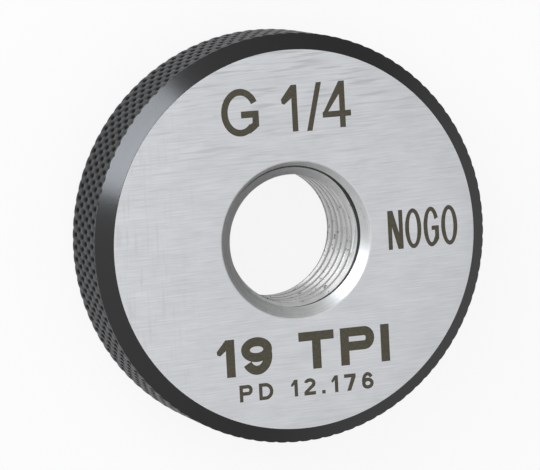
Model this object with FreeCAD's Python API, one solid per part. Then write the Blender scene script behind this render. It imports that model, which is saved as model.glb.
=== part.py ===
import FreeCAD, Part
import math
import os

# Thread ring gauge, NO GO side: a turned steel disc with a diamond knurl round its rim
# and a truncated pipe thread through its middle. It is one solid. It lies on its back face:
# the origin is the centre of that face, +Z is the thread axis and points to the marked face.

# Driving dimensions, in millimetres and degrees.
outside_d = 38.0
thickness = 9.5
rim_chamfer = 1.465
rim_chamfer_angle = 50.0

# Thread: 19 turns to the inch, 55 degree flanks, right-hand. This side tests the pitch diameter
# alone, so the crests are cut flat close above the pitch line, and the flanks end in a narrow
# relief groove that clears the thread's roots.
thread_pitch = 1.337
thread_flank_angle = 55.0
thread_crest_d = 11.91
thread_crest_height = 0.133
thread_relief_width = 0.16
thread_relief_depth = 0.35
thread_start_angle = 10.0

# Countersink at each mouth of the bore, measured from the thread's crests.
mouth_depth = 1.33
mouth_angle = 90.0

# Diamond knurl: two crossing families of V grooves that leave pyramids between them.
# The helix angle is nominal, because a whole number of rows fits the rim.
knurl_teeth = 104
knurl_helix_angle = 28.0
knurl_depth = 0.20
knurl_start_angle = -0.9

# What the two cutters need beyond the steel that they take away.
thread_cutter_inset = 0.25
thread_cutter_overrun = 1.5 * thread_pitch
knurl_cutter_wall = 1.0

# Worked out from the dimensions above.
outside_r = outside_d / 2
face_r = outside_r - rim_chamfer
groove_r = outside_r - knurl_depth
thread_crest_r = thread_crest_d / 2
thread_pitch_r = thread_crest_r + thread_crest_height
mouth_r = thread_crest_r + mouth_depth * math.tan(math.radians(mouth_angle / 2))
chamfer_slope = 1 / math.tan(math.radians(rim_chamfer_angle))
flank_slope = math.tan(math.radians(thread_flank_angle / 2))
thread_apex_r = thread_pitch_r + thread_pitch / 4 / flank_slope
thread_major_r = thread_apex_r - thread_relief_width / 2 / flank_slope
thread_root_r = thread_major_r + thread_relief_depth

centre = FreeCAD.Vector(0, 0, 0)
axis = FreeCAD.Vector(0, 0, 1)


def closed_outline(points):
    return Part.makePolygon(points + points[:1])


def chamfer_height(r):
    """How far below its face the rim chamfer has the radius r."""
    return (r - face_r) * chamfer_slope


def turned_blank():
    """The disc as it leaves the lathe: rim chamfers, bore and countersinks in one section."""
    shoulder = chamfer_height(outside_r)
    section = [
        (mouth_r, 0),
        (face_r, 0),
        (outside_r, shoulder),
        (outside_r, thickness - shoulder),
        (face_r, thickness),
        (mouth_r, thickness),
        (thread_crest_r, thickness - mouth_depth),
        (thread_crest_r, mouth_depth),
    ]
    outline = closed_outline([FreeCAD.Vector(r, 0, z) for r, z in section])
    return Part.Face(outline).revolve(centre, axis, 360)


def thread_cutter():
    """The groove between two ridges of the thread, swept turn by turn along its helix."""
    inner_r = thread_crest_r - thread_cutter_inset
    inner_half_width = (thread_apex_r - inner_r) * flank_slope
    relief_half_width = thread_relief_width / 2
    side = [
        (inner_r, inner_half_width),
        (thread_major_r, relief_half_width),
        (thread_root_r, relief_half_width),
    ]
    section = [FreeCAD.Vector(r, 0, z) for r, z in side]
    section += [FreeCAD.Vector(r, 0, -z) for r, z in reversed(side)]
    turns = []
    for number in range(math.ceil((thickness + 2 * thread_cutter_overrun) / thread_pitch)):
        turn = Part.makeHelix(thread_pitch, thread_pitch, thread_pitch_r)
        turn.translate(axis * (number * thread_pitch))
        turns += turn.Edges
    groove = Part.Wire(turns).makePipeShell([closed_outline(section)], True, True)
    groove.translate(axis * -thread_cutter_overrun)
    groove.rotate(centre, axis, thread_start_angle)
    return groove


def knurl_cutter():
    """A tube whose inside is the knurl, as flat facets.

    Points lie on rows half a diamond apart, with two points to a tooth. Every other point is a tip,
    and those between are where two grooves cross, so the four facets round a tip make one pyramid.
    The first and last rows cross on the chamfers, where the grooves run out.
    """
    bottom = chamfer_height(groove_r)
    span = thickness - 2 * bottom
    tooth_step = math.pi * outside_d / knurl_teeth
    nominal_row_step = tooth_step / 2 / math.tan(math.radians(knurl_helix_angle))
    last_row = round(span / nominal_row_step)
    points_round = 2 * knurl_teeth

    def is_tip(place, row):
        return (place + row) % 2 == 0

    def point(place, row):
        r = outside_r if is_tip(place, row) else groove_r
        angle = 2 * math.pi * (place % points_round) / points_round
        height = bottom + span * row / last_row
        return FreeCAD.Vector(r * math.cos(angle), r * math.sin(angle), height)

    outlines = []
    for row in range(last_row + 1):
        for place in range(points_round):
            if not is_tip(place, row):
                continue
            tip = point(place, row)
            left = point(place - 1, row)
            right = point(place + 1, row)
            if row < last_row:
                above = point(place, row + 1)
                outlines += [[tip, right, above], [tip, above, left]]
            if row > 0:
                below = point(place, row - 1)
                outlines += [[tip, left, below], [tip, below, right]]
    for row in (0, last_row):
        outlines.append([point(place, row) for place in range(points_round)])
    shell = Part.makeShell([Part.Face(closed_outline(outline)) for outline in outlines])
    shell.sewShape()
    knurled_bar = Part.makeSolid(shell)
    knurled_bar.rotate(centre, axis, knurl_start_angle)
    tube = Part.makeCylinder(outside_r + knurl_cutter_wall, span, axis * bottom)
    return tube.cut(knurled_bar)


def gauge_ring():
    threaded = turned_blank().cut(thread_cutter())
    return threaded.cut(knurl_cutter()).Solids[0]


os.makedirs("parts", exist_ok=True)
gauge_ring().exportStep("parts/gauge_ring.step")
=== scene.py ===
import math

import bmesh
import bpy
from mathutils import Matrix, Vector
from mathutils.geometry import delaunay_2d_cdt


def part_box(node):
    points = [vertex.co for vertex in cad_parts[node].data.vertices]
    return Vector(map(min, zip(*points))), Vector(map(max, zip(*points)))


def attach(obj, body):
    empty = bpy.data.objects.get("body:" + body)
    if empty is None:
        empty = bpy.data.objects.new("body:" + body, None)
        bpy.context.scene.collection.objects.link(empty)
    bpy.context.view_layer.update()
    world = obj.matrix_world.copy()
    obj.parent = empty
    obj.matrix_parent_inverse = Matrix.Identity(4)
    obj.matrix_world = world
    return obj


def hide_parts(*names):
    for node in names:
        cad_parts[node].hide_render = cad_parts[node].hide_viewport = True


# A thread ring gauge that lies on its back face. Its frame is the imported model's: the origin is the
# centre of the back face, +Z is the thread axis and +X runs along the marking. Sizes are in
# millimetres and degrees here, and MM turns them into the scene's metres.
MM = 0.001

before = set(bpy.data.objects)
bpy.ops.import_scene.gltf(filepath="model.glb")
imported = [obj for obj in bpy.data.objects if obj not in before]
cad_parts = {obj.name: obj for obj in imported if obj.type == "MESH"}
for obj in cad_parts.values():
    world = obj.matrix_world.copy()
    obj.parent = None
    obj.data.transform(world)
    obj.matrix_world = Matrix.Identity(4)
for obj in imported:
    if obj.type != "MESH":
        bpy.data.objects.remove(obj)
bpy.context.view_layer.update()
low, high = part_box("gauge_ring")
outside_r = (high.x - low.x) / 2 / MM
thickness = (high.z - low.z) / MM

# The solid's own sizes, the same as in its source.
rim_chamfer = 1.465
rim_chamfer_lean = 40.0
mouth_depth = 1.33
mouth_slope = 1.0
thread_pitch = 1.337
thread_flank_angle = 55.0
thread_crest_r = 5.955
thread_crest_height = 0.133
thread_relief_width = 0.16
thread_relief_depth = 0.35
thread_start_angle = 10.0
thread_overrun_turns = 1.5
knurl_teeth = 104
knurl_rows = 7
knurl_depth = 0.20
knurl_start_angle = -0.9

# Worked out from them.
chamfer_slope = math.tan(math.radians(rim_chamfer_lean))
flank_slope = math.tan(math.radians(thread_flank_angle / 2))
face_r = outside_r - rim_chamfer
groove_r = outside_r - knurl_depth
mouth_r = thread_crest_r + mouth_depth * mouth_slope
thread_apex_r = thread_crest_r + thread_crest_height + thread_pitch / 4 / flank_slope
thread_major_r = thread_apex_r - thread_relief_width / 2 / flank_slope
thread_root_r = thread_major_r + thread_relief_depth

# Edges that the solid leaves sharp: how much is broken off the face's rim and the bore's mouth.
face_edge_break = 0.04
mouth_edge_break = 0.06

# How deep the marking is sunk.
mark_depth = 0.03

# Edges that bend by more degrees than this are shaded as sharp.
sharp_edge = 18

# The gap between the back face and the floor.
floor_gap = 0.02

# Material slots of the gauge's mesh, in the order in which its materials are added.
FACE, KNURL, OXIDE, THREAD, MOUTH, MARK = range(6)

# Vertices nearer than this are one.
SNAP = 1e-4

# The vertex attribute that says how little of the knurl is cut away.
KNURL_HEIGHT = "knurl_height"


def everything(bm):
    return bm.verts[:] + bm.edges[:] + bm.faces[:]


def cut_by_cone(bm, height, radius, slope, clear=False):
    """Cuts a sheet that is laid flat along the cone through (radius, height), which is a plane there."""
    bmesh.ops.bisect_plane(
        bm,
        geom=everything(bm),
        dist=SNAP,
        plane_co=(0, height, radius),
        plane_no=(0, -slope, 1),
        clear_outer=clear,
    )


def roll_up(bm):
    """Rolls a flat sheet of (arc at the outside, height, radius) round the axis and closes its seam."""
    for vert in bm.verts:
        angle = vert.co.x / outside_r
        radius = vert.co.z
        vert.co = (radius * math.cos(angle), radius * math.sin(angle), vert.co.y)
    bmesh.ops.remove_doubles(bm, verts=bm.verts, dist=SNAP)


def edge_loop_at(bm, is_top):
    """The open edges in the upper or the lower half."""
    return [e for e in bm.edges if e.is_boundary and (e.verts[0].co.z > thickness / 2) == is_top]


# One groove of the knurl by the share of the way from its middle, 0, to the middle of the land
# beside it, 1: how much of the groove is left there. It is worn shallow between the crossings.
KNURL_GROOVE = [(0.0, 1.0), (0.16, 0.92), (0.54, 0.12), (0.70, 0.0), (1.0, 0.0)]
groove_depth = 0.045

# Over this height next to each chamfer the knurl gets shallower, down to this share of its depth.
knurl_run_out = 0.5
knurl_end_share = 0.4


def groove_left(place):
    """What is left of a groove at a place from one groove's middle, 0, to the next one's, 1."""
    share = 2 * min(place, 1 - place)
    for (s0, left0), (s1, left1) in zip(KNURL_GROOVE, KNURL_GROOVE[1:]):
        if share <= s1:
            return left0 + (left1 - left0) * (share - s0) / (s1 - s0)
    return 0.0


def make_knurled_rim():
    """The rim: lands between two crossing families of worn grooves, cut off by the two chamfers.

    m and n number the grooves of the two families, and i and j the lines at which the way from one
    groove to the next is split, so u and v are a point's place among the grooves of each family.
    """
    bm = bmesh.new()
    knurl_height = bm.verts.layers.float.new(KNURL_HEIGHT)
    bottom = (groove_r - face_r) * chamfer_slope
    shoulder = rim_chamfer * chamfer_slope
    row_step = (thickness - 2 * bottom) / knurl_rows
    half_tooth = math.pi * outside_r / knurl_teeth
    start = math.radians(knurl_start_angle) * outside_r
    shares = [share / 2 for share, _ in KNURL_GROOVE]
    breaks = shares + [1 - s for s in reversed(shares[1:-1])]
    count = len(breaks)
    verts = {}

    def vert(m, n, i, j):
        key = (m * count + i, n * count + j)
        if key not in verts:
            s = breaks[i % count]
            t = breaks[j % count]
            u = m + i // count + s
            v = n + j // count + t
            one = groove_left(s)
            other = groove_left(t)
            depth = groove_depth * max(one, other) + (knurl_depth - groove_depth) * min(one, other)
            along = start + (u - v + 1) * half_tooth
            height = bottom + (u + v) * row_step
            from_end = min(height, thickness - height) - shoulder
            depth *= min(1, max(knurl_end_share, from_end / knurl_run_out))
            verts[key] = bm.verts.new((along, height, outside_r - depth))
            verts[key][knurl_height] = 1 - depth / knurl_depth
        return verts[key]

    for row in range(-1, knurl_rows + 2):
        for place in range(2 * knurl_teeth):
            if (place + row) % 2:
                continue
            m = (place + row) // 2 - 1
            n = (row - place) // 2
            for i in range(count):
                for j in range(count):
                    a = vert(m, n, i, j)
                    b = vert(m, n, i + 1, j)
                    c = vert(m, n, i + 1, j + 1)
                    d = vert(m, n, i, j + 1)
                    if i == j:
                        bm.faces.new((a, b, c))
                        bm.faces.new((a, c, d))
                    elif i + j == count - 1:
                        bm.faces.new((a, b, d))
                        bm.faces.new((b, c, d))
                    else:
                        bm.faces.new((a, b, c, d))
    cut_by_cone(bm, thickness, face_r, -1 / chamfer_slope, clear=True)
    cut_by_cone(bm, 0, face_r, 1 / chamfer_slope, clear=True)
    roll_up(bm)
    for face in bm.faces:
        face.material_index = KNURL
    for is_top in (True, False):
        add_chamfer(bm, is_top)
    return bm


def add_chamfer(bm, is_top):
    """Draws the knurl's ragged edge in over the chamfer and round the face's broken edge.

    Grinding the face leaves the inner strip of the broken edge bright.
    """
    reach = face_edge_break
    rings = [
        (face_r + reach, reach * chamfer_slope),
        (face_r, 0.25 * reach * chamfer_slope),
        (face_r - reach, 0),
    ]
    knurl_edge = edge_loop_at(bm, is_top)
    edges = knurl_edge
    for radius, depth in rings:
        made = bmesh.ops.extrude_edge_only(bm, edges=edges)["geom"]
        verts = [g for g in made if isinstance(g, bmesh.types.BMVert)]
        faces = [g for g in made if isinstance(g, bmesh.types.BMFace)]
        edges = [g for g in made if isinstance(g, bmesh.types.BMEdge) and g.is_boundary]
        for vert in verts:
            out = Vector((vert.co.x, vert.co.y)).normalized() * radius
            vert.co = (out.x, out.y, thickness - depth if is_top else depth)
        for face in faces:
            face.material_index = FACE if radius < face_r else OXIDE
    for edge in knurl_edge:
        edge.smooth = False


def make_threaded_bore():
    """The bore: a helical thread, dark in its roots, whose ends two countersinks cut away.

    The section's lines are (share of a pitch from the middle of a groove, radius), and share is also
    the unit of relief, crest and crest_blunt. The roots keep the real black oxide; the dark band up the
    flanks, measured along the radius, is painted shade.
    """
    bm = bmesh.new()
    steps_round = 300
    relief = thread_relief_width / 2 / thread_pitch
    crest = (thread_apex_r - thread_crest_r) * flank_slope / thread_pitch
    crest_blunt = 0.012
    # How far the painted shade reaches up the thread's flanks, along the radius.
    flank_shade = 0.22
    lines = [
        (0.0, thread_root_r),
        (relief, thread_root_r),
        (relief, thread_major_r),
        (relief + flank_shade * flank_slope / thread_pitch, thread_major_r - flank_shade),
        (crest - crest_blunt, thread_crest_r + crest_blunt * thread_pitch / flank_slope),
        (crest + crest_blunt, thread_crest_r),
        (0.5, thread_crest_r),
    ]
    lines += [(1 - share, radius) for share, radius in reversed(lines[1:-1])]
    first_groove = -(thread_overrun_turns + thread_start_angle / 360) * thread_pitch
    turns = range(0, math.ceil(thickness / thread_pitch) + 4)
    grid = []
    for step in range(steps_round + 1):
        angle = 2 * math.pi * step / steps_round
        rise = first_groove + thread_pitch * step / steps_round
        column = []
        for turn in turns:
            for share, radius in lines:
                height = rise + thread_pitch * (turn + share)
                column.append(bm.verts.new((angle * outside_r, height, radius)))
        grid.append(column)
    # Faces are numbered by the line that they start from: these are the root, in its real black oxide, and
    # the flanks' band of painted shade.
    oxide_and_shade_faces = (0, 1, 2, len(lines) - 3, len(lines) - 2, len(lines) - 1)
    for left, right in zip(grid, grid[1:]):
        for k in range(len(left) - 1):
            face = bm.faces.new((left[k], left[k + 1], right[k + 1], right[k]))
            face.material_index = OXIDE if k % len(lines) in oxide_and_shade_faces else THREAD
    # The broken edge leans halfway between the countersink and the face.
    break_slope = math.tan(math.radians(67.5))
    ends = ((0, -1), (thickness, 1))
    for height, way in ends:
        widen_mouth(bm, height, mouth_r, way * mouth_slope)
    for height, way in ends:
        widen_mouth(bm, height, mouth_r + mouth_edge_break, way * break_slope)
    for height, way in ends:
        bmesh.ops.bisect_plane(
            bm,
            geom=everything(bm),
            dist=SNAP,
            plane_co=(0, height, 0),
            plane_no=(0, way, 0),
            clear_outer=True,
        )
    roll_up(bm)
    return bm


def widen_mouth(bm, height, radius, slope):
    """Cuts the flat bore along a cone, and presses what is inside the cone out to it."""
    cut_by_cone(bm, height, radius, slope)

    def cone(vert):
        return radius + slope * (vert.co.y - height)

    for vert in bm.verts:
        vert.co.z = max(vert.co.z, cone(vert))
    for face in bm.faces:
        if all(vert.co.z < cone(vert) + 2 * SNAP for vert in face.verts):
            face.material_index = MOUTH


def box(x0, y0, x1, y1):
    return [(x0, y0), (x1, y0), (x1, y1), (x0, y1)]


def bow(cx, cy, rx, ry, start, end, t):
    """A curved stroke of thickness t along an ellipse, as four-sided pieces of about 10 degrees."""
    steps = max(4, round(abs(end - start) / 10))
    pieces = []
    ring = []
    for k in range(steps + 1):
        a = math.radians(start + (end - start) * k / steps)
        outer = (cx + rx * math.cos(a), cy + ry * math.sin(a))
        inner = (cx + (rx - t) * math.cos(a), cy + (ry - t) * math.sin(a))
        ring.append((outer, inner))
    for (o0, i0), (o1, i1) in zip(ring, ring[1:]):
        pieces.append([o0, o1, i1, i0])
    return pieces


def turned_over(pieces, w):
    return [[(w - x, 1 - y) for x, y in piece] for piece in pieces]


# Each glyph gives its strokes in a box of width w and height 1, with strokes of thickness t.


def glyph_G(w, t):
    right = 0.985 * w
    turn = [
        (0.74 * w, 0.03),
        (0.86 * w, 0.095),
        (right, 0.18),
        (right, 0.3),
        (right - t, 0.27),
        (0.64 * w, 0.146),
    ]
    return bow(w / 2, 0.5, w / 2, 0.515, 26, 316, t) + [
        turn,
        box(right - t, 0.18, right, 0.52),
        box(0.52 * w, 0.52 - t, right, 0.52),
    ]


def glyph_O(w, t):
    return bow(w / 2, 0.5, w / 2, 0.515, 0, 360, t)


def glyph_N(w, t):
    slant = 1.3 * t
    return [box(0, 0, t, 1), box(w - t, 0, w, 1), [(0, 1), (w - slant, 0), (w, 0), (slant, 1)]]


def glyph_1(w, t):
    flag = [(0, 0.71), (0.02 * w, 0.62), (0.19 * w, 0.59), (w - t, 0.715), (w - t, 1)]
    return [box(w - t, 0, w, 1), flag]


def glyph_4(w, t):
    stem = 0.6 * w
    bar = 0.234
    slope = [(0, bar), (0, bar + 0.65 * t), (stem, 1), (stem, 0.72), (t, bar + t), (t, bar)]
    return [box(stem, 0, stem + t, 1), box(0, bar, w, bar + t), slope]


def glyph_slash(w, t):
    return [[(0, 0), (1.1 * t, 0), (w, 1), (w - 1.1 * t, 1)]]


def glyph_9(w, t):
    bowl = 0.33
    return bow(w / 2, 1 - bowl, w / 2, bowl, 0, 360, t) + bow(w / 2, 0.5, w / 2, 0.5, -150, 20, t)


def glyph_6(w, t):
    return turned_over(glyph_9(w, t), w)


def glyph_2(w, t):
    slope = [(0, t), (0, 0.4 * t), (0.6 * t, 0.4 * t), (0.95 * w, 0.52), (w - t, 0.66)]
    return bow(w / 2, 0.69, w / 2, 0.31, -35, 165, t) + [box(0, 0, w, t), slope]


def glyph_7(w, t):
    return [box(0, 1 - t, w, 1), [(0.22 * w, 0), (0.22 * w + 1.15 * t, 0), (w, 1 - t), (w - 1.3 * t, 1 - t)]]


def glyph_P(w, t):
    half = 0.31
    turn = w - 0.9 * half
    middle = 1 - half
    return bow(turn, middle, w - turn, half, -90, 90, t) + [
        box(0, 0, t, 1),
        box(t, 1 - t, turn, 1),
        box(t, middle - half, turn, middle - half + t),
    ]


def glyph_D(w, t):
    turn = 0.45 * w
    return bow(turn, 0.5, w - turn, 0.5, -90, 90, t) + [
        box(0, 0, t, 1),
        box(t, 1 - t, turn, 1),
        box(t, 0, turn, t),
    ]


def glyph_T(w, t):
    return [box(0, 1 - t, w, 1), box((w - t) / 2, 0, (w + t) / 2, 1)]


def glyph_I(w, t):
    return [box(0, 0, t, 1)]


def glyph_point(w, t):
    return [box(0, 0, t, t)]


# The strokes of each character and its width as a share of the cap height. None is one stroke's width.
GLYPHS = {
    "G": (glyph_G, 0.88),
    "O": (glyph_O, 0.92),
    "N": (glyph_N, 0.84),
    "P": (glyph_P, 0.74),
    "D": (glyph_D, 0.80),
    "T": (glyph_T, 0.76),
    "I": (glyph_I, None),
    "1": (glyph_1, 0.38),
    "2": (glyph_2, 0.66),
    "4": (glyph_4, 0.66),
    "6": (glyph_6, 0.66),
    "7": (glyph_7, 0.66),
    "9": (glyph_9, 0.66),
    "/": (glyph_slash, 0.32),
    ".": (glyph_point, None),
}
SPACE_WIDTH = 0.30


def text_strokes(text, left, right, base, top, weight, squeeze):
    """The strokes of a line of text, spaced out to fill the box. A single letter is as wide as the box."""
    height = top - base
    length = (right - left) / height
    t = weight / height
    widths = []
    for letter in text:
        share = SPACE_WIDTH if letter == " " else GLYPHS[letter][1]
        widths.append(t if share is None else share * squeeze)
    gap = 0
    if len(text) > 1:
        gap = (length - sum(widths)) / (len(text) - 1)
    else:
        widths = [length]
    pieces = []
    pen = 0
    for letter, width in zip(text, widths):
        if letter != " ":
            for piece in GLYPHS[letter][0](width, t):
                pieces.append([(left + (pen + px) * height, base + py * height) for px, py in piece])
        pen += width + gap
    return pieces


# The marking: the thread's size, its side, and its data below the bore. Each line gives its text, its
# left, right, base and top, its strokes' thickness, and its letters' width as a share of GLYPHS'.
MARKING = [
    ("G", -6.65, -3.0, 10.02, 14.26, 0.62, 1.0),
    ("1", -0.83, 0.72, 10.0, 14.3, 0.55, 1.0),
    ("/", 1.56, 3.13, 9.95, 14.36, 0.47, 1.0),
    ("4", 3.15, 5.92, 10.04, 14.32, 0.55, 1.0),
    ("NOGO", 9.0, 15.92, -1.75, 1.88, 0.40, 0.485),
    ("19 TPI", -8.3, 8.6, -12.1, -8.6, 0.85, 1.3),
    ("PD 12.176", -6.3, 6.85, -14.5, -12.93, 0.33, 1.1),
]


def leftward(outline):
    """The outline in counter-clockwise order."""
    area = sum(x0 * y1 - x1 * y0 for (x0, y0), (x1, y1) in zip(outline, outline[1:] + outline[:1]))
    return outline if area > 0 else outline[::-1]


def fill_face(bm, is_top, strokes):
    """Fills the flat ring between rim and bore, with the strokes sunk into it.

    Triangles whose corners all lie round the bore are in the bore, and are left out.
    """
    height = thickness if is_top else 0
    edges = edge_loop_at(bm, is_top)
    ring = list(dict.fromkeys(v for e in edges for v in e.verts))
    place = {v: k for k, v in enumerate(ring)}
    points = [Vector((v.co.x, v.co.y)) for v in ring]
    borders = [(place[e.verts[0]], place[e.verts[1]]) for e in edges]
    pieces = []
    for stroke in strokes:
        pieces.append(list(range(len(points), len(points) + len(stroke))))
        points += [Vector(p) for p in leftward(stroke)]
    out_points, _, out_faces, from_verts, _, from_faces = delaunay_2d_cdt(points, borders, pieces, 0, 1e-5)
    halfway = (mouth_r + face_r) / 2

    def known(k):
        return next((ring[i] for i in from_verts[k] if i < len(ring)), None)

    top = [known(k) for k in range(len(out_points))]
    bottom = {}
    for k, vert in enumerate(top):
        if vert is None:
            top[k] = bm.verts.new((out_points[k].x, out_points[k].y, height))

    def sunk(k):
        if k not in bottom:
            bottom[k] = bm.verts.new((out_points[k].x, out_points[k].y, height - mark_depth))
        return bottom[k]

    walls = {}
    for corners, inside in zip(out_faces, from_faces):
        if all(known(k) is not None and out_points[k].length < halfway for k in corners):
            continue
        if inside:
            face = bm.faces.new([sunk(k) for k in corners])
            face.material_index = MARK
        else:
            face = bm.faces.new([top[k] for k in corners])
            face.material_index = FACE
        for a, b in zip(corners, corners[1:] + corners[:1]):
            walls.setdefault((min(a, b), max(a, b)), set()).add(bool(inside))
    for (a, b), sides in walls.items():
        if len(sides) == 2:
            face = bm.faces.new((top[a], top[b], bottom[b], bottom[a]))
            face.material_index = MARK
    bmesh.ops.delete(bm, geom=[v for v in bm.verts if not v.link_faces], context="VERTS")


def shade_chamfers(mesh):
    """Gives the chamfers the cone's own shading, which their long faces can't keep by themselves."""
    lean = Vector((chamfer_slope, 1)).normalized()
    cone = {}
    for k, vert in enumerate(mesh.vertices):
        middle = thickness / 2
        out = vert.co.xy / MM
        rise = vert.co.z / MM - middle
        if abs((middle - abs(rise)) - (out.length - face_r) * chamfer_slope) < 2 * SNAP:
            level = out.normalized() * lean.x
            cone[k] = Vector((level.x, level.y, math.copysign(lean.y, rise)))
    normals = [Vector((0, 0, 0))] * len(mesh.loops)
    for face in mesh.polygons:
        if all(v in cone for v in face.vertices):
            for k in face.loop_indices:
                normals[k] = cone[mesh.loops[k].vertex_index]
    mesh.normals_split_custom_set(normals)


def make_gauge():
    """The whole gauge, as one closed mesh."""
    bm = make_knurled_rim()
    bore = make_threaded_bore()
    part = bpy.data.meshes.new("bore")
    bore.to_mesh(part)
    bore.free()
    bm.from_mesh(part)
    bpy.data.meshes.remove(part)
    fill_face(bm, True, [stroke for line in MARKING for stroke in text_strokes(*line)])
    fill_face(bm, False, [])
    bmesh.ops.recalc_face_normals(bm, faces=bm.faces)
    for face in bm.faces:
        face.smooth = True
    for edge in bm.edges:
        if edge.calc_face_angle(0) > math.radians(sharp_edge):
            edge.smooth = False
    bmesh.ops.scale(bm, vec=(MM, MM, MM), verts=bm.verts)
    mesh = bpy.data.meshes.new("gauge")
    bm.to_mesh(mesh)
    bm.free()
    shade_chamfers(mesh)
    gauge = bpy.data.objects.new("gauge", mesh)
    bpy.context.collection.objects.link(gauge)
    return gauge


class Look:
    """A material's node tree, with its Principled shader and short ways to add nodes."""

    def __init__(self, name):
        self.material = bpy.data.materials.new(name)
        self.material.use_nodes = True
        self.tree = self.material.node_tree
        self.shader = self.tree.nodes["Principled BSDF"]
        self.place = self.add("ShaderNodeTexCoord").outputs["Object"]

    def add(self, kind, **settings):
        node = self.tree.nodes.new(kind)
        for key, value in settings.items():
            setattr(node, key, value)
        return node

    def link(self, source, socket):
        self.tree.links.new(source, socket)

    def put(self, socket, value):
        if isinstance(value, bpy.types.NodeSocket):
            self.link(value, socket)
        else:
            socket.default_value = value

    def math(self, operation, a, b=0.0):
        node = self.add("ShaderNodeMath", operation=operation)
        self.put(node.inputs[0], a)
        self.put(node.inputs[1], b)
        return node.outputs[0]

    def noise(self, vector, detail, roughness):
        node = self.add("ShaderNodeTexNoise", noise_dimensions="3D")
        self.link(vector, node.inputs["Vector"])
        node.inputs["Scale"].default_value = 1.0
        node.inputs["Detail"].default_value = detail
        node.inputs["Roughness"].default_value = roughness
        return node.outputs["Fac"]

    def stretched(self, x, y, z, turn=0.0):
        """Object coordinates in cycles, with x, y and z cycles to the millimetre, turned about Z."""
        turned = self.add("ShaderNodeVectorRotate", rotation_type="Z_AXIS")
        self.link(self.place, turned.inputs["Vector"])
        turned.inputs["Angle"].default_value = math.radians(-turn)
        node = self.add("ShaderNodeMapping")
        self.link(turned.outputs[0], node.inputs["Vector"])
        node.inputs["Scale"].default_value = (x / MM, y / MM, z / MM)
        return node.outputs[0]

    def ramp(self, factor, stops):
        """Colours or greys by factor: stops are (place, colour) or (place, grey)."""
        node = self.add("ShaderNodeValToRGB")
        self.link(factor, node.inputs[0])
        ramp = node.color_ramp
        while len(ramp.elements) < len(stops):
            ramp.elements.new(0.5)
        for element, (place, colour) in zip(ramp.elements, stops):
            element.position = place
            element.color = (*colour, 1) if isinstance(colour, tuple) else (colour, colour, colour, 1)
        return node.outputs[0]

    def rising(self, axis, start, end, low, high):
        """Goes from low to high between two places, in millimetres, along the X or the Y axis."""
        split = self.add("ShaderNodeSeparateXYZ")
        self.link(self.place, split.inputs[0])
        node = self.add("ShaderNodeMapRange")
        self.link(split.outputs[axis], node.inputs[0])
        node.inputs["From Min"].default_value = start * MM
        node.inputs["From Max"].default_value = end * MM
        node.inputs["To Min"].default_value = low
        node.inputs["To Max"].default_value = high
        return node.outputs[0]

    def span(self, factor, low, high):
        """Goes from low to high as the factor goes from 0 to 1."""
        node = self.add("ShaderNodeMapRange")
        self.link(factor, node.inputs[0])
        node.inputs["To Min"].default_value = low
        node.inputs["To Max"].default_value = high
        return node.outputs[0]

    def mix(self, factor, a, b):
        node = self.add("ShaderNodeMix", data_type="RGBA")
        self.put(node.inputs["Factor"], factor)
        for socket, value in ((node.inputs[6], a), (node.inputs[7], b)):
            self.put(socket, (*value, 1) if isinstance(value, tuple) else value)
        return node.outputs[2]

    def bump(self, height, distance, strength):
        """Bump whose full height is the distance in millimetres."""
        node = self.add("ShaderNodeBump")
        self.link(height, node.inputs["Height"])
        node.inputs["Distance"].default_value = distance * MM
        node.inputs["Strength"].default_value = strength
        self.link(node.outputs[0], self.shader.inputs["Normal"])

    def around(self):
        """Coordinates for turned surfaces: arc length at the bore, distance from the axis, height, in mm."""
        split = self.add("ShaderNodeSeparateXYZ")
        self.link(self.place, split.inputs[0])
        x, y, z = split.outputs
        angle = self.math("ARCTAN2", y, x)
        radius = self.math("SQRT", self.math("ADD", self.math("MULTIPLY", x, x), self.math("MULTIPLY", y, y)))
        joined = self.add("ShaderNodeCombineXYZ")
        self.link(self.math("MULTIPLY", angle, thread_crest_r), joined.inputs[0])
        self.link(self.math("DIVIDE", radius, MM), joined.inputs[1])
        self.link(self.math("DIVIDE", z, MM), joined.inputs[2])
        return joined.outputs[0]

    def scaled(self, vector, x, y, z):
        node = self.add("ShaderNodeVectorMath", operation="MULTIPLY")
        self.link(vector, node.inputs[0])
        node.inputs[1].default_value = (x, y, z)
        return node.outputs[0]


def ground_steel():
    """Bright ground face: fine straight lines, deeper streaks at the top, faint cross marks at the left."""
    look = Look("ground_steel")
    fine = look.noise(look.stretched(0.30, 8.0, 0.3, 0.5), 3.0, 0.65)
    patches = look.noise(look.stretched(0.3, 0.5, 0.1), 3.0, 0.6)
    tone = look.math("ADD", look.math("MULTIPLY", fine, 0.65), look.math("MULTIPLY", patches, 0.35))
    colour = look.ramp(tone, [(0.35, (0.62, 0.625, 0.645)), (0.65, (0.75, 0.755, 0.765))])
    streaks = look.noise(look.stretched(0.20, 3.2, 0.3, 2.0), 2.0, 0.5)
    streaks = look.ramp(streaks, [(0.54, 0.0), (0.70, 1.0)])
    streaks = look.math("MULTIPLY", streaks, look.rising(1, 2, 17, 0.07, 0.6))
    marks = look.noise(look.stretched(3.4, 0.30, 0.3), 2.0, 0.5)
    marks = look.ramp(marks, [(0.54, 0.0), (0.70, 1.0)])
    marks = look.math("MULTIPLY", marks, look.rising(0, -8, -15, 0.0, 0.22))
    worn = look.math("MAXIMUM", streaks, marks)
    look.link(look.mix(worn, colour, (0.42, 0.42, 0.42)), look.shader.inputs["Base Color"])
    look.link(look.span(fine, 0.30, 0.42), look.shader.inputs["Roughness"])
    look.shader.inputs["Metallic"].default_value = 1.0
    look.bump(fine, 0.002, 0.4)
    return look.material


def oxide_grain(look):
    grain = look.noise(look.stretched(9, 9, 9), 3.0, 0.6)
    look.bump(grain, 0.001, 0.3)
    return grain


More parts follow.
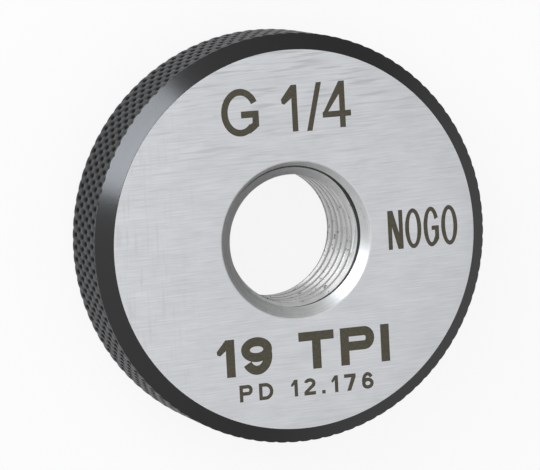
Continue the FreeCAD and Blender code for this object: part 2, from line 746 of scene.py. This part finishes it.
def knurled_oxide():
    """Black oxide on the knurl: rubbed a little lighter on its lands, and darker in its pits as painted
    shade.
    """
    look = Look("knurled_oxide")
    oxide_grain(look)
    land_height = look.add("ShaderNodeAttribute", attribute_name=KNURL_HEIGHT).outputs["Fac"]
    cloud = look.noise(look.stretched(1.2, 1.2, 1.2), 3.0, 0.6)
    rub_and_pit_shade = look.math("MULTIPLY", look.ramp(land_height, [(0.45, 0.0), (0.9, 1.0)]), look.span(cloud, 0.45, 1.0))
    # Lighter on the lands from rubbing, and darker in the pits as painted shade.
    colour = look.mix(rub_and_pit_shade, (0.005, 0.0055, 0.005), (0.014, 0.0155, 0.0155))
    look.link(colour, look.shader.inputs["Base Color"])
    look.link(look.span(rub_and_pit_shade, 0.55, 0.24), look.shader.inputs["Roughness"])
    look.link(look.span(rub_and_pit_shade, 0.25, 0.5), look.shader.inputs["Specular IOR Level"])
    look.shader.inputs["IOR"].default_value = 1.26
    return look.material


def black_oxide():
    """Satin black oxide of the chamfers and of the thread's roots, also used as painted shade in a band up
    the thread's flanks.
    """
    look = Look("black_oxide")
    grain = oxide_grain(look)
    dark = look.ramp(grain, [(0.3, (0.053, 0.053, 0.052)), (0.7, (0.057, 0.057, 0.056))])
    look.link(dark, look.shader.inputs["Base Color"])
    look.link(look.span(grain, 0.21, 0.25), look.shader.inputs["Roughness"])
    look.shader.inputs["Metallic"].default_value = 1.0
    look.shader.inputs["Specular Tint"].default_value = (0.72, 0.72, 0.72, 1)
    return look.material


def turned_steel(name, dull, bright, roughness, pitting):
    """Turned steel, with fine marks round the axis and specks where it tore."""
    look = Look(name)
    around = look.around()
    turning = look.noise(look.scaled(around, 0.15, 9.0, 9.0), 3.0, 0.6)
    spots = look.noise(look.scaled(around, 1.2, 1.2, 1.2), 2.0, 0.5)
    tone = look.math("ADD", look.math("MULTIPLY", turning, 0.7), look.math("MULTIPLY", spots, 0.3))
    colour = look.ramp(tone, [(0.35, dull), (0.65, bright)])
    specks = look.noise(look.scaled(around, 2.2, 3.5, 1.1), 2.0, 0.6)
    torn = look.math("MULTIPLY", look.ramp(specks, [(0.62, 0.0), (0.70, 1.0)]), pitting)
    look.link(look.mix(torn, colour, (0.06, 0.06, 0.055)), look.shader.inputs["Base Color"])
    look.link(look.span(turning, roughness - 0.08, roughness + 0.08), look.shader.inputs["Roughness"])
    look.shader.inputs["Metallic"].default_value = 1.0
    look.bump(turning, 0.003, 0.4)
    return look.material


def burnt_mark():
    """Laser marking: matt brown-grey oxide with a little grain."""
    look = Look("burnt_mark")
    grain = look.noise(look.stretched(5, 5, 5), 3.0, 0.6)
    colour = look.ramp(grain, [(0.3, (0.052, 0.044, 0.027)), (0.7, (0.085, 0.074, 0.048))])
    look.link(colour, look.shader.inputs["Base Color"])
    look.link(look.span(grain, 0.45, 0.6), look.shader.inputs["Roughness"])
    look.shader.inputs["Metallic"].default_value = 0.3
    look.bump(grain, 0.004, 0.5)
    return look.material


def make_floor():
    """A plain pale floor that keeps the object's shadow, and that metal mirrors at less than half."""
    bm = bmesh.new()
    bmesh.ops.create_circle(bm, cap_ends=True, radius=1.5, segments=96)
    mesh = bpy.data.meshes.new("floor")
    bm.to_mesh(mesh)
    bm.free()
    floor = bpy.data.objects.new("floor", mesh)
    floor.location.z = -floor_gap * MM
    bpy.context.collection.objects.link(floor)
    look = Look("pale_floor")
    look.shader.inputs["Base Color"].default_value = (0.80, 0.80, 0.80, 1)
    look.shader.inputs["Roughness"].default_value = 0.9
    glow = look.add("ShaderNodeEmission")
    glow.inputs["Strength"].default_value = 1.0
    path = look.add("ShaderNodeLightPath").outputs
    mirrored = look.math("MULTIPLY", path["Is Glossy Ray"], 0.45)
    past = look.math("MAXIMUM", path["Is Transmission Ray"], mirrored)
    seen = look.math("MAXIMUM", path["Is Camera Ray"], past)
    share = look.math("MULTIPLY", seen, 0.87)
    blend = look.add("ShaderNodeMixShader")
    look.link(share, blend.inputs[0])
    look.link(look.shader.outputs[0], blend.inputs[1])
    look.link(glow.outputs[0], blend.inputs[2])
    output = next(n for n in look.tree.nodes if n.type == "OUTPUT_MATERIAL")
    look.link(blend.outputs[0], output.inputs["Surface"])
    mesh.materials.append(look.material)


def softbox(name, azimuth, elevation, distance, spread, rise, radiance, colour):
    """A lamp panel that faces the gauge, so many degrees wide and high as the gauge sees it."""
    lamp = bpy.data.lights.new(name, "AREA")
    lamp.shape = "RECTANGLE"
    lamp.size = 2 * distance * math.cos(math.radians(elevation)) * math.tan(math.radians(spread / 2)) * MM
    lamp.size_y = 2 * distance * math.tan(math.radians(rise / 2)) * MM
    lamp.energy = radiance * math.pi * lamp.size * lamp.size_y
    lamp.color = colour
    panel = bpy.data.objects.new(name, lamp)
    level = math.cos(math.radians(elevation))
    away = Vector((
        math.cos(math.radians(azimuth)) * level,
        math.sin(math.radians(azimuth)) * level,
        math.sin(math.radians(elevation)),
    ))
    panel.location = (Vector((0, 0, thickness / 2)) + away * distance) * MM
    panel.rotation_euler = away.to_track_quat("Z", "Y").to_euler()
    bpy.context.collection.objects.link(panel)


def make_lights():
    """A pale room, brighter towards its ceiling, and a soft panel at the upper left with a strip in it."""
    world = bpy.data.worlds.new("studio")
    world.use_nodes = True
    nodes = world.node_tree.nodes
    links = world.node_tree.links
    background = nodes["Background"]
    background.inputs["Color"].default_value = (0.97, 0.985, 1.0, 1)
    toward_ceiling = nodes.new("ShaderNodeVectorMath")
    toward_ceiling.operation = "DOT_PRODUCT"
    links.new(nodes.new("ShaderNodeTexCoord").outputs["Generated"], toward_ceiling.inputs[0])
    toward_ceiling.inputs[1].default_value = (-0.25, 0, 0.97)
    brightness = nodes.new("ShaderNodeMapRange")
    links.new(toward_ceiling.outputs["Value"], brightness.inputs[0])
    brightness.inputs["From Min"].default_value = -0.4
    brightness.inputs["To Min"].default_value = 0.25
    brightness.inputs["To Max"].default_value = 0.96
    links.new(brightness.outputs[0], background.inputs["Strength"])
    bpy.context.scene.world = world
    softbox("side_panel", 139, 36, 400, 50, 46, 1.05, (1, 1, 1))
    softbox("side_strip", 139, 28, 380, 47, 5, 15.5, (0.82, 0.89, 1))


def make_camera():
    """Looks down on the gauge as the photograph does, 20 degrees off its axis."""
    place = Vector((-114.517, 44.075, 336.637))
    aim = Vector((-2.565, 0.700, 9.5))
    picture_up = Vector((0.0893, 0.9909, -0.1008))
    back = (place - aim).normalized()
    right = picture_up.cross(back).normalized()
    up = back.cross(right)
    data = bpy.data.cameras.new("camera")
    data.lens = 253.5
    data.sensor_width = 36
    data.clip_start = 0.01
    camera = bpy.data.objects.new("camera", data)
    turned = camera.matrix_world.to_3x3()
    turned.col[0] = right
    turned.col[1] = up
    turned.col[2] = back
    camera.rotation_mode = "QUATERNION"
    camera.rotation_quaternion = turned.to_quaternion()
    camera.location = place * MM
    bpy.context.collection.objects.link(camera)
    bpy.context.scene.camera = camera


gauge = make_gauge()
for material in (
    ground_steel(),
    knurled_oxide(),
    black_oxide(),
    turned_steel("thread_steel", (0.44, 0.44, 0.435), (0.60, 0.60, 0.59), roughness=0.22, pitting=0.8),
    turned_steel("mouth_steel", (0.62, 0.62, 0.61), (0.75, 0.75, 0.74), roughness=0.40, pitting=0.15),
    burnt_mark(),
):
    gauge.data.materials.append(material)
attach(gauge, "root")
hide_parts("gauge_ring")

make_floor()
make_lights()
make_camera()
bpy.context.scene.view_settings.view_transform = "Standard"
